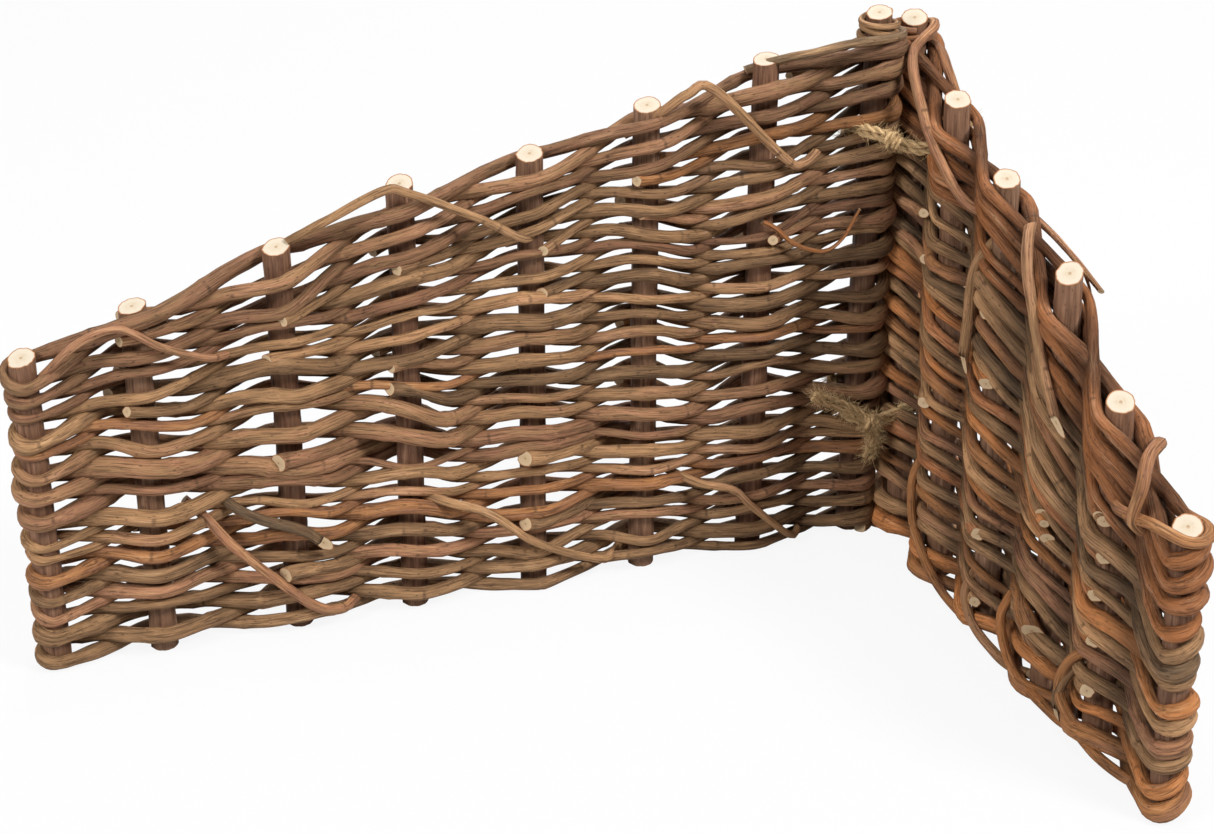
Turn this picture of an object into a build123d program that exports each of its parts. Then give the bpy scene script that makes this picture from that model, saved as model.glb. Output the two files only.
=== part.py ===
"""Woven willow privacy screen: two sloping hurdle panels lashed together at a corner.

Each panel is a row of round stakes with courses of willow woven in front of and behind
them. The left panel runs along -X from the corner, the right panel along -Y, and the
inside of the corner faces -X and -Y. Both panels are tall at the corner and low at
their outer ends. Two jute ties bind the two corner stakes, so the right panel swings
about the axis of the left corner stake.

Millimetres, +Z up. The origin is the centre of the left corner stake's foot.
"""
import math
import os
from dataclasses import dataclass

from build123d import *

# Stakes, listed from the corner outwards: they are set by hand, so the gaps are uneven
LEFT_GAPS = [64, 66, 64, 69, 65, 74, 56]
LEFT_HEIGHTS = [311, 292, 274, 255, 247, 221, 199, 179]
RIGHT_GAPS = [53, 56, 66, 53, 63]
RIGHT_HEIGHTS = [301, 273, 250, 226, 183, 151]
STAKE_RADIUS = 7.2
RIGHT_LEAN_DEG = 4.5
RIGHT_CORNER = (27.0, -12.0)
CUT_SLANT = 0.7

# Weave: both panels have the same number of courses, which fan out towards the corner
COURSES = 17
COURSE_BASE = 1.5
COURSE_OVERLAP = 1.10
WEAVE_DROP = 12.0
ROD_THICKNESS = 5.5
ROD_SHOULDER = 0.30
STAKE_CLEARANCE = 0.1
STAKE_FLAT = 5.0
WRAP_STEP_DEG = 30
WRAP_HEIGHT = 1.75

# Loose rod ends and twine
SPRIG_RADIUS = 2.6
TIP_RADIUS = 1.4
TWINE_RADIUS = 2.0
ROD_SIDES = 6
SEATING = 0.4
KNOT_COIL_RADIUS = 3.0
KNOT_LENGTH = 9.5
KNOT_TURNS = 2
KNOT_STEPS = 7
KNOT_GAP = 0.5

# Depths from a panel's middle plane: a course's centre line, its face and a rod lying on it
RUN = STAKE_RADIUS + STAKE_CLEARANCE + ROD_THICKNESS / 2
FACE = RUN + ROD_THICKNESS / 2
ON_FACE = FACE + SPRIG_RADIUS - SEATING
IN_FACE = ON_FACE - 4.0
TIP_ON_FACE = FACE + TIP_RADIUS - SEATING

# A course's section, as fractions of its half thickness and of its depth
RIDGE_OUTLINE = [
    (1, ROD_SHOULDER),
    (0, 0.5),
    (-1, ROD_SHOULDER),
    (-1, -ROD_SHOULDER),
    (0, -0.5),
    (1, -ROD_SHOULDER),
]

# Rod ends tucked over the inside face, as distance from the corner, depth and height
LEFT_TUCKED = [
    [(448, IN_FACE, 170), (428, ON_FACE, 193), (410, ON_FACE, 195), (392, ON_FACE, 182), (366, IN_FACE, 170)],
    [(304, IN_FACE, 238), (275, ON_FACE, 251), (226, ON_FACE, 229), (192, IN_FACE, 209)],
    [(140, IN_FACE, 272), (113, ON_FACE, 285), (97, ON_FACE, 284), (58, ON_FACE, 242), (46, IN_FACE, 236)],
    [(256, IN_FACE, 68), (224, ON_FACE, 56), (196, ON_FACE, 32), (156, IN_FACE, 12)],
    [(380, IN_FACE, 82), (358, ON_FACE, 55), (324, ON_FACE, 17), (304, IN_FACE, 11)],
    [(104, IN_FACE, 52), (80, ON_FACE, 45), (68, ON_FACE, 32), (43, IN_FACE, 8)],
]
RIGHT_TUCKED = [
    [(44, IN_FACE, 290), (35, ON_FACE, 276), (53, ON_FACE, 256), (88, IN_FACE, 232)],
    [(162, IN_FACE, 222), (164, ON_FACE, 212), (181, ON_FACE, 182), (196, IN_FACE, 160)],
]
CURLED_TIP = [
    (60, TIP_ON_FACE, 201),
    (49, TIP_ON_FACE, 191),
    (32, TIP_ON_FACE, 185),
    (21, TIP_ON_FACE, 191),
    (9, TIP_ON_FACE, 208),
]

# Twine, from knot to knot: through the left weave, behind both corner stakes and back
UPPER_KNOT = Vector(0.5, -25.5, 248.5)
UPPER_ROUTE = [
    (-11, -15.3, 252),
    (-11, -5, 249.5),
    (-11, 5, 241),
    (-11, 15.2, 238.5),
    (-4.5, 15.8, 239),
    (23, 23.2, 243),
    (31, 23.4, 244.5),
    (38.6, 19.2, 246),
    (43.2, 10.1, 248),
    (43, -20, 254),
    (42.6, -34.7, 257.5),
    (32, -34.7, 255),
    (22, -34.7, 246.5),
    (11.8, -34.7, 244),
]
LOWER_KNOT = Vector(0.5, -19.5, 78)
LOWER_ROUTE = [
    (-11, -15.3, 80),
    (-11, -5, 82.5),
    (-11, 5, 90.5),
    (-11, 15.2, 93),
    (2, 16.2, 92),
    (25, 11.4, 91.5),
    (35.2, 8.7, 91),
    (42.2, 0.4, 90.5),
    (42.8, -16.7, 90),
    (32, -16.7, 87),
    (22, -16.7, 79.5),
    (11.8, -16.7, 76.5),
]
LOWER_ENDS = [
    [(-3, -18.5, 80), (-18, -16.5, 90), (-34, -16, 98)],
    [(0, -20.5, 76), (3, -20.5, 66), (1, -18.5, 54)],
]


@dataclass(frozen=True)
class Panel:
    """One hurdle. s runs outwards from its corner stake, v towards the inside, z up."""

    gaps: list
    heights: list
    corner: tuple
    along: tuple
    inward: tuple
    lean_deg: float

    def stakes(self):
        """Distances of the stakes from the corner stake, at the floor."""
        return [sum(self.gaps[:count]) for count in range(len(self.gaps) + 1)]

    def place(self, s, v, z):
        """Point of the panel in the object's frame, moved by the panel's lean."""
        run = s - z * math.tan(math.radians(self.lean_deg))
        x = self.corner[0] + self.along[0] * run + self.inward[0] * v
        y = self.corner[1] + self.along[1] * run + self.inward[1] * v
        return Vector(x, y, z)

    def slope(self):
        """Fall of the panel's top for each millimetre away from the corner."""
        return (self.heights[0] - self.heights[-1]) / self.stakes()[-1]

    def pitch(self, s):
        """Height that one course takes up at s."""
        top = self.heights[0] - WEAVE_DROP - self.slope() * s
        return (top - COURSE_BASE) / COURSES

    def course_height(self, index, s):
        """Height of the middle of a course at s."""
        return COURSE_BASE + (index + 0.5) * self.pitch(s)

    def side(self, index, number):
        """1 where a course passes the inside of a stake, -1 where it passes behind."""
        return 1 if (index + number) % 2 else -1


LEFT = Panel(LEFT_GAPS, LEFT_HEIGHTS, (0.0, 0.0), (-1, 0), (0, -1), 0.0)
RIGHT = Panel(RIGHT_GAPS, RIGHT_HEIGHTS, RIGHT_CORNER, (0, -1), (-1, 0), RIGHT_LEAN_DEG)


def closed_solid(rings):
    """Solid with flat faces through rings of points, closed by the first and last."""
    faces = [Face(Wire.make_polygon(rings[0])), Face(Wire.make_polygon(rings[-1]))]
    size = len(rings[0])
    for near, far in zip(rings, rings[1:]):
        for corner in range(size):
            after = (corner + 1) % size
            a, b, c, d = near[corner], near[after], far[after], far[corner]
            normal = (b - a).cross(c - a).normalized()
            if abs(normal.dot(d - a)) < 1e-6:
                faces.append(Face(Wire.make_polygon([a, b, c, d])))
            else:
                faces.append(Face(Wire.make_polygon([a, b, c])))
                faces.append(Face(Wire.make_polygon([a, c, d])))
    return Solid(Shell(faces))


def unit(across, up):
    """Unit vector in the plan, or None where the two points are the same."""
    length = math.hypot(across, up)
    return (across / length, up / length) if length > 1e-9 else None


def wrap_stations(panel, index, number, outward):
    """Stations that carry a course a quarter turn round an end stake, to its neighbour."""
    s = panel.stakes()[number]
    side = panel.side(index, number)
    neighbour = index + side
    paired = 0 <= neighbour < COURSES
    start = panel.course_height(index, s)
    middle = (start + panel.course_height(neighbour, s)) / 2 if paired else start
    growth = WRAP_HEIGHT if paired else COURSE_OVERLAP
    reach = RUN / math.cos(math.radians(WRAP_STEP_DEG / 2))
    stations = []
    for turn in range(WRAP_STEP_DEG // 2, 90, WRAP_STEP_DEG):
        angle = math.radians(turn)
        share = turn / 90
        depth = panel.pitch(s) * (COURSE_OVERLAP + (growth - COURSE_OVERLAP) * share)
        height = start + (middle - start) * share
        across = s + outward * reach * math.sin(angle)
        stations.append((across, side * reach * math.cos(angle), height, depth))
    stations.append((s + outward * RUN, 0.0, middle, panel.pitch(s) * growth))
    return stations


def course_stations(panel, index):
    """Distance, depth from the middle plane, height and section depth along a course."""
    stakes = panel.stakes()
    stations = wrap_stations(panel, index, 0, -1)[::-1]
    for number, s in enumerate(stakes):
        before = s - STAKE_FLAT if number else None
        after = s + STAKE_FLAT if number < len(stakes) - 1 else None
        for flat in filter(None, (before, after)):
            depth = panel.pitch(flat) * COURSE_OVERLAP
            height = panel.course_height(index, flat)
            stations.append((flat, panel.side(index, number) * RUN, height, depth))
    return stations + wrap_stations(panel, index, len(stakes) - 1, 1)


def square_to(stations, number):
    """Run into a station, and the direction that its section stands square to."""
    s, v, _, _ = stations[number]
    before = stations[max(number - 1, 0)]
    after = stations[min(number + 1, len(stations) - 1)]
    out = unit(after[0] - s, after[1] - v)
    into = unit(s - before[0], v - before[1]) or out
    if v == 0.0:
        return into, (0.0, math.copysign(1.0, into[1]))
    return into, unit(into[0] + out[0], into[1] + out[1])


def course_solid(panel, index):
    """One course: a six-sided ridge that waves in front of and behind the stakes."""
    stations = course_stations(panel, index)
    rings = []
    for number, (s, v, z, depth) in enumerate(stations):
        into, facing = square_to(stations, number)
        half = ROD_THICKNESS / 2 / (facing[0] * into[0] + facing[1] * into[1])
        ring = []
        for offset, rise in RIDGE_OUTLINE:
            reach = offset * half
            ring.append(panel.place(s - facing[1] * reach, v + facing[0] * reach, z + rise * depth))
        rings.append(ring)
    return closed_solid(rings)


def weave(panel):
    """The woven wall of one panel: its courses join where they cross between stakes."""
    courses = [course_solid(panel, index) for index in range(COURSES)]
    return courses[0].fuse(*courses[1:]).solid()


def stake(panel, number):
    """A round stake, cut level at the foot and slanting at the top."""
    s = panel.stakes()[number]
    height = panel.heights[number]
    foot = panel.place(s, 0, 0)
    tip = panel.place(s, 0, height)
    lean = (tip - foot).normalized()
    spare = STAKE_RADIUS
    length = (tip - foot).length + 2 * spare
    pole = Solid.make_cylinder(STAKE_RADIUS, length, Plane(foot - lean * spare, z_dir=lean))
    fall = Vector(panel.along[0], panel.along[1], -panel.slope() * CUT_SLANT)
    level = Vector(panel.inward[0], panel.inward[1], 0)
    upward = fall.cross(level)
    upward = upward if upward.Z > 0 else upward * -1
    standing = pole.split(Plane(foot, z_dir=(0, 0, 1)), keep=Keep.TOP)
    return standing.split(Plane(tip, z_dir=upward), keep=Keep.BOTTOM).solid()


def faceted_rod(points, radius):
    """A six-sided rod along straight runs, mitred where they meet."""
    runs = [(far - near).normalized() for near, far in zip(points, points[1:])]
    start = Plane(points[0], z_dir=runs[0])
    angles = [math.tau * side / ROD_SIDES for side in range(ROD_SIDES)]
    ring = [start.from_local_coords(Vector(math.cos(a), math.sin(a), 0) * radius) for a in angles]
    rings = [ring]
    for number, run in enumerate(runs, start=1):
        last = number == len(runs)
        square = run if last else (run + runs[number]).normalized()
        ring = [at + run * ((points[number] - at).dot(square) / run.dot(square)) for at in ring]
        rings.append(ring)
    return closed_solid(rings)


def tucked_rod(panel, route, radius, wall):
    """A rod end that lies on the face of the weave, seated on the ridges it crosses."""
    rod = faceted_rod([panel.place(*point) for point in route], radius)
    pieces = (rod - wall).solids()
    return max(pieces, key=lambda piece: piece.volume)


def knot(centre, along):
    """Turns of twine wound round the strand at the knot."""
    frame = Plane(centre - along * (KNOT_LENGTH / 2), z_dir=along)
    steps = KNOT_TURNS * KNOT_STEPS
    points = []
    for step in range(steps + 1):
        angle = math.tau * step / KNOT_STEPS
        turn = Vector(math.cos(angle), math.sin(angle), 0) * KNOT_COIL_RADIUS
        points.append(frame.from_local_coords(turn + Vector(0, 0, KNOT_LENGTH * step / steps)))
    return faceted_rod(points, TWINE_RADIUS)


def tie(centre, route, ends):
    """A jute lashing: one turn round both corner stakes, knotted inside the corner."""
    stops = [Vector(*point) for point in route]
    along = (stops[-1] - stops[0]).normalized()
    start, finish = centre - along * KNOT_GAP, centre + along * KNOT_GAP
    loop = faceted_rod([start] + stops + [finish], TWINE_RADIUS)
    pieces = [knot(centre, along)]
    pieces += [faceted_rod([Vector(*point) for point in end], TWINE_RADIUS) for end in ends]
    return loop.fuse(*pieces).solid()


def build():
    """All nodes by name."""
    nodes = {}
    for name, panel in (("left", LEFT), ("right", RIGHT)):
        for number in range(len(panel.heights)):
            nodes[f"{name}_stake_{number + 1}"] = stake(panel, number)
        nodes[f"{name}_weave"] = weave(panel)
    for number, route in enumerate(LEFT_TUCKED, start=1):
        nodes[f"left_tucked_rod_{number}"] = tucked_rod(LEFT, route, SPRIG_RADIUS, nodes["left_weave"])
    for number, route in enumerate(RIGHT_TUCKED, start=1):
        nodes[f"right_tucked_rod_{number}"] = tucked_rod(RIGHT, route, SPRIG_RADIUS, nodes["right_weave"])
    nodes["left_curled_tip"] = tucked_rod(LEFT, CURLED_TIP, TIP_RADIUS, nodes["left_weave"])
    nodes["upper_tie"] = tie(UPPER_KNOT, UPPER_ROUTE, [])
    nodes["lower_tie"] = tie(LOWER_KNOT, LOWER_ROUTE, LOWER_ENDS)
    return nodes


if __name__ == "__main__":
    os.makedirs("parts", exist_ok=True)
    for node, solid in build().items():
        export_step(solid, f"parts/{node}.step")
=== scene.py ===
"""Looks of a woven willow corner screen: rods, stakes, cut ends and jute lashings.

Lengths are millimetres until a mesh is made, and each panel has its own coordinates:
s runs outwards from the corner stake, v towards the inside of the corner, z upwards.
"""

import logging
import math
import random
from dataclasses import dataclass, field
from enum import Enum
from typing import Callable, ClassVar, Iterable, Optional, Sequence, Union

import bpy
from mathutils import Matrix, Vector, noise

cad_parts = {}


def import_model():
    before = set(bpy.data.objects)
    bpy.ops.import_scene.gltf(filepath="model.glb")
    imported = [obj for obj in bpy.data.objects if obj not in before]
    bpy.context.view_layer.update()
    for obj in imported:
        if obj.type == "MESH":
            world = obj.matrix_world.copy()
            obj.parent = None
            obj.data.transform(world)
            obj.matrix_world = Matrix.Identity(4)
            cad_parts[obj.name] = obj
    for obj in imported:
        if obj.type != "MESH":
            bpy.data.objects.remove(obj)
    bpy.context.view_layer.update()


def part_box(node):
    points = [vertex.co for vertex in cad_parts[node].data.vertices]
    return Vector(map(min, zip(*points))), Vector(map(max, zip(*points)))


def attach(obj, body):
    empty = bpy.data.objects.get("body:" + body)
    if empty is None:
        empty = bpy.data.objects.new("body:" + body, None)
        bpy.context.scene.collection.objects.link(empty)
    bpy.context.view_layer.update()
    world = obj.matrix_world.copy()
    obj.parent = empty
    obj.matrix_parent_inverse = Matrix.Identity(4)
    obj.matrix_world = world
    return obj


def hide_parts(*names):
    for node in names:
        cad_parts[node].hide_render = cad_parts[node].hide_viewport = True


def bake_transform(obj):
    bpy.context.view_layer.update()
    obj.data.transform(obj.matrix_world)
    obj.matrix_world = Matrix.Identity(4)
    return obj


LOG = logging.getLogger("willow_screen")

MM = 0.001
PHOTO_WIDTH = 1214

STAKE_RADIUS = 7.2
ROD_SIDES = 14
ROD_STEP = 3.2
WINDOW_FADE = 26.0

Number = Union[float, "Signal"]
Colour = tuple[float, float, float]
Point = tuple[float, float, float]


class End(Enum):
    """How a rod stops."""

    BUTT = "cut square across"
    FACING = "cut slanting, with the cut turned to the inside"
    TIP = "tapered to a thin tip"
    SPLIT = "split along its length"


class Signal:
    """One shader socket, so that shader maths reads as Python."""

    def __init__(self, bench: "ShaderBench", socket: bpy.types.NodeSocket) -> None:
        """Wrap a socket.

        Args:
            bench: The material's node maker.
            socket: The output socket to wrap.
        """
        self.bench = bench
        self.socket = socket

    def _math(self, operation: str, first: Number, second: Number) -> "Signal":
        """Result of one Math node."""
        return self.bench.math(operation, first, second)

    def __add__(self, other: Number) -> "Signal":
        """self + other"""
        return self._math("ADD", self, other)

    def __radd__(self, other: Number) -> "Signal":
        """other + self"""
        return self._math("ADD", other, self)

    def __sub__(self, other: Number) -> "Signal":
        """self - other"""
        return self._math("SUBTRACT", self, other)

    def __rsub__(self, other: Number) -> "Signal":
        """other - self"""
        return self._math("SUBTRACT", other, self)

    def __mul__(self, other: Number) -> "Signal":
        """self * other"""
        return self._math("MULTIPLY", self, other)

    def __rmul__(self, other: Number) -> "Signal":
        """other * self"""
        return self._math("MULTIPLY", other, self)


class ShaderBench:
    """Makes the nodes of one material or world."""

    def __init__(self, owner: Union[bpy.types.Material, bpy.types.World]) -> None:
        """Start without nodes.

        Args:
            owner: The new material or world.
        """
        owner.use_nodes = True
        self.owner = owner
        self.tree = owner.node_tree
        self.tree.nodes.clear()

    def node(
        self, kind: str, settings: Optional[dict] = None, inputs: Optional[dict] = None
    ) -> bpy.types.Node:
        """Add a node.

        Args:
            kind: The node's type.
            settings: Properties, set before the sockets. A ramp's stops are under "stops".
            inputs: Values or links by socket name or number.

        Returns:
            The new node.
        """
        made = self.tree.nodes.new(kind)
        for key, value in (settings or {}).items():
            if key == "stops":
                self._set_stops(made, value)
            else:
                setattr(made, key, value)
        for key, value in (inputs or {}).items():
            self._feed(made.inputs[key], value)
        return made

    def _set_stops(self, ramp: bpy.types.Node, stops: Sequence[tuple[float, Colour]]) -> None:
        """Give a colour ramp its stops."""
        elements = ramp.color_ramp.elements
        while len(elements) < len(stops):
            elements.new(1.0)
        for element, (place, colour) in zip(elements, stops):
            element.position = place
            element.color = (*colour, 1.0)

    def _feed(self, socket: bpy.types.NodeSocket, value: object) -> None:
        """Link or set one input socket."""
        if isinstance(value, Signal):
            self.tree.links.new(value.socket, socket)
        elif isinstance(value, tuple) and len(value) == 3 and socket.type == "RGBA":
            socket.default_value = (*value, 1.0)
        else:
            socket.default_value = value

    def out(self, made: bpy.types.Node, name: Union[str, int] = 0) -> Signal:
        """Wrap an output of a node."""
        return Signal(self, made.outputs[name])

    def math(self, operation: str, first: Number, second: Number = 0.0) -> Signal:
        """Result of a Math node."""
        return self.out(self.node("ShaderNodeMath", {"operation": operation}, {0: first, 1: second}))

    def vector(self, operation: str, first: object, second: object) -> Signal:
        """Result of a Vector Math node."""
        return self.out(self.node("ShaderNodeVectorMath", {"operation": operation}, {0: first, 1: second}))

    def mix(self, factor: Number, first: object, second: object, blend: str = "MIX") -> Signal:
        """Mix of two colours."""
        settings = {"data_type": "RGBA", "blend_type": blend}
        made = self.node("ShaderNodeMix", settings, {0: factor, 6: first, 7: second})
        return self.out(made, 2)

    def attribute(self, name: str, output: str = "Fac") -> Signal:
        """A value stored on the mesh."""
        return self.out(self.node("ShaderNodeAttribute", {"attribute_name": name}), output)

    def step(self, value: Number, low: float, high: float) -> Signal:
        """Smooth rise from 0 at low to 1 at high, or a fall where low is above high."""
        settings = {"interpolation_type": "SMOOTHSTEP"}
        inputs = {0: value, 1: min(low, high), 2: max(low, high)}
        inputs.update({3: 0.0, 4: 1.0} if low < high else {3: 1.0, 4: 0.0})
        return self.out(self.node("ShaderNodeMapRange", settings, inputs))

    def noise(self, place: Signal, scale: float, detail: float = 4.0, rough: float = 0.55) -> Signal:
        """Noise value from 0 to 1 at a place."""
        inputs = {"Vector": place, "Scale": scale, "Detail": detail, "Roughness": rough}
        return self.out(self.node("ShaderNodeTexNoise", {}, inputs))

    def cells(self, place: Signal, scale: float) -> Signal:
        """Distance to the nearest of scattered points."""
        return self.out(self.node("ShaderNodeTexVoronoi", {}, {"Vector": place, "Scale": scale}))

    def rings(self, place: Signal, scale: float) -> Signal:
        """Distance to the nearest of scattered places along a rod, as a share of their spacing."""
        along = self.node("ShaderNodeSeparateXYZ", {}, {0: place})
        inputs = {"W": self.out(along, 2) * scale, "Scale": 1.0}
        return self.out(self.node("ShaderNodeTexVoronoi", {"voronoi_dimensions": "1D"}, inputs))

    def ramp(self, value: Number, stops: Sequence[tuple[float, Colour]]) -> Signal:
        """Colour from a ramp."""
        return self.out(self.node("ShaderNodeValToRGB", {"stops": stops}, {0: value}))

    def scaled(self, colour: Signal, share: Signal) -> Signal:
        """A colour made lighter or darker."""
        value = self.node("ShaderNodeCombineXYZ", {}, {0: share, 1: share, 2: share})
        return self.vector("MULTIPLY", colour, self.out(value))

    def finish(
        self, surface: dict, height: Optional[Signal] = None, depth: float = 0.0
    ) -> bpy.types.Material:
        """Close the material with a Principled shader.

        Args:
            surface: Values and links of the shader's sockets.
            height: Relief, from 0 to 1.
            depth: Depth of the relief in millimetres.

        Returns:
            The finished material.
        """
        inputs = dict(surface)
        if height is not None:
            relief = {"Strength": 1.0, "Distance": depth * MM, "Height": height}
            inputs["Normal"] = self.out(self.node("ShaderNodeBump", {}, relief))
        shader = self.node("ShaderNodeBsdfPrincipled", {}, inputs)
        self.node("ShaderNodeOutputMaterial", {}, {"Surface": self.out(shader)})
        return self.owner


@dataclass(frozen=True)
class Bark:
    """Willow bark, with grain running along the rod.

    Attributes:
        name: The material's name.
        stops: Colours from grey-brown to tan, picked by each rod's own tint.
        dark: Colour in the wrinkles.
        bloom: Dusty colour that lies on the high places.
        wrinkle: Wrinkles for each millimetre round the rod.
        relief: Depth of the wrinkles in millimetres.
        roughness: Roughness of smooth bark.
    """

    name: str
    stops: tuple[tuple[float, Colour], ...]
    dark: Colour
    bloom: Colour
    wrinkle: float
    relief: float
    roughness: float

    STRETCH: ClassVar[float] = 0.045
    NODE_SPACING: ClassVar[float] = 60.0
    SHEEN: ClassVar[float] = 0.28

    def material(self) -> bpy.types.Material:
        """Build the bark's nodes."""
        bench = ShaderBench(bpy.data.materials.new(self.name))
        grain = bench.attribute("grain", "Vector")
        tint = bench.attribute("tint")
        shade = bench.attribute("shade")
        along = bench.vector("MULTIPLY", grain, (1.0, 1.0, self.STRETCH))
        patchy = bench.vector("MULTIPLY", grain, (0.25, 0.25, 0.035))
        wrinkles = bench.noise(along, self.wrinkle, 5.0, 0.62)
        fibres = bench.noise(along, self.wrinkle * 3.1, 3.0, 0.6)
        patches = bench.noise(patchy, 1.0, 3.0, 0.55)
        lenticel_place = bench.vector("MULTIPLY", grain, (0.42, 0.42, 0.16))
        lenticels = bench.step(bench.cells(lenticel_place, 1.0), 0.18, 0.07)
        furrow = bench.step(wrinkles, 0.54, 0.36)
        nodes = bench.step(bench.rings(grain, 1 / self.NODE_SPACING) + (fibres - 0.5) * 0.03, 0.024, 0.004)
        nodes = nodes * bench.step(patches, 0.46, 0.6)
        hue = tint + (patches - 0.5) * 0.5
        colour = bench.ramp(hue, self.stops)
        colour = bench.mix(bench.step(patches, 0.55, 0.75) * 0.35, colour, self.bloom)
        colour = bench.mix(bench.step(fibres, 0.45, 0.75) * 0.22, colour, self.bloom)
        colour = bench.mix(furrow * 0.62, colour, self.dark)
        colour = bench.mix(lenticels * 0.6, colour, self.dark)
        colour = bench.mix(nodes * 0.5, colour, self.dark)
        # The mesh's shade holds each rod's own lightness times its painted shade and painted light.
        colour = bench.scaled(colour, shade * (0.10 + fibres * 0.98 + patches * 0.82))
        height = wrinkles * 0.75 + fibres * 0.3 - lenticels * 0.2 + nodes * 0.3
        rough = self.roughness + furrow * 0.2
        surface = {"Base Color": colour, "Roughness": rough, "Specular IOR Level": self.SHEEN}
        return bench.finish(surface, height, self.relief)


@dataclass(frozen=True)
class CutWood:
    """Fresh end grain: cream wood with a pith, faint rings and a rim of bark.

    Attributes:
        name: The material's name.
        wood: Colour of the wood.
        heart: Colour near the pith.
        pith: Colour of the pith and of fine cracks.
        rim: Colour of the inner bark at the rim.
    """

    name: str
    wood: Colour
    heart: Colour
    pith: Colour
    rim: Colour

    def material(self) -> bpy.types.Material:
        """Build the end grain's nodes, which read distance from the pith as tint."""
        bench = ShaderBench(bpy.data.materials.new(self.name))
        grain = bench.attribute("grain", "Vector")
        out = bench.attribute("tint")
        speckle = bench.noise(grain, 1.1, 4.0, 0.6)
        wander = bench.noise(grain, 0.45, 2.0, 0.5)
        rings = bench.math("SINE", (out + wander * 0.12) * 38.0)
        colour = bench.mix(bench.step(out, 0.75, 0.15) * 0.4, self.wood, self.heart)
        colour = bench.mix(bench.step(rings, 0.2, 1.0) * 0.10, colour, self.heart)
        scratches = bench.step(bench.math("ABSOLUTE", speckle - 0.5), 0.035, 0.0)
        scratches = scratches * bench.step(out, 0.7, 0.3) * bench.step(wander, 0.42, 0.6)
        colour = bench.mix(scratches * 0.5, colour, self.pith)
        colour = bench.mix(bench.step(out + (speckle - 0.5) * 0.08, 0.17, 0.08) * 0.7, colour, self.pith)
        colour = bench.mix(bench.step(out + (wander - 0.5) * 0.06, 0.88, 0.965), colour, self.rim)
        height = speckle * 0.6 + rings * 0.1
        surface = {"Base Color": colour, "Roughness": 0.72, "Specular IOR Level": 0.3}
        return bench.finish(surface, height, 0.12)


@dataclass(frozen=True)
class Jute:
    """Jute twine: pale brown fibres that lie along each ply.

    Attributes:
        name: The material's name.
        light: Colour of the fibres on top.
        deep: Colour between the fibres.
    """

    name: str
    light: Colour
    deep: Colour

    def material(self) -> bpy.types.Material:
        """Build the twine's nodes."""
        bench = ShaderBench(bpy.data.materials.new(self.name))
        grain = bench.attribute("grain", "Vector")
        tint = bench.attribute("tint")
        along = bench.vector("MULTIPLY", grain, (1.0, 1.0, 0.12))
        strands = bench.noise(along, 4.5, 4.0, 0.65)
        colour = bench.mix(bench.step(strands, 0.3, 0.68), self.deep, self.light)
        colour = bench.scaled(colour, 0.7 + tint * 0.55)
        surface = {"Base Color": colour, "Roughness": 0.92, "Specular IOR Level": 0.15}
        return bench.finish(surface, strands, 0.35)


@dataclass(frozen=True)
class Ground:
    """Pale floor that reads as white to the camera and keeps a soft shadow.

    Attributes:
        name: The material's name.
        colour: Colour that lights the object from below.
        glow: Share of plain white that the camera sees in it.
    """

    name: str
    colour: Colour
    glow: float

    def material(self) -> bpy.types.Material:
        """Build the floor's nodes."""
        bench = ShaderBench(bpy.data.materials.new(self.name))
        plain = bench.node("ShaderNodeBsdfDiffuse", {}, {"Color": self.colour})
        white = bench.node("ShaderNodeEmission", {}, {"Color": (1.0, 1.0, 1.0), "Strength": 1.0})
        seen = bench.out(bench.node("ShaderNodeLightPath"), "Is Camera Ray") * self.glow
        mixed = bench.node("ShaderNodeMixShader", {}, {0: seen, 1: bench.out(plain), 2: bench.out(white)})
        bench.node("ShaderNodeOutputMaterial", {}, {"Surface": bench.out(mixed)})
        return bench.owner


@dataclass(frozen=True)
class Finish:
    """Materials of one kind of piece.

    Attributes:
        side: Material of the rods' sides.
        cut: Material of their cut ends.
        slot: Name of a material slot; not used.
    """

    side: bpy.types.Material
    cut: bpy.types.Material
    slot: str


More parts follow.
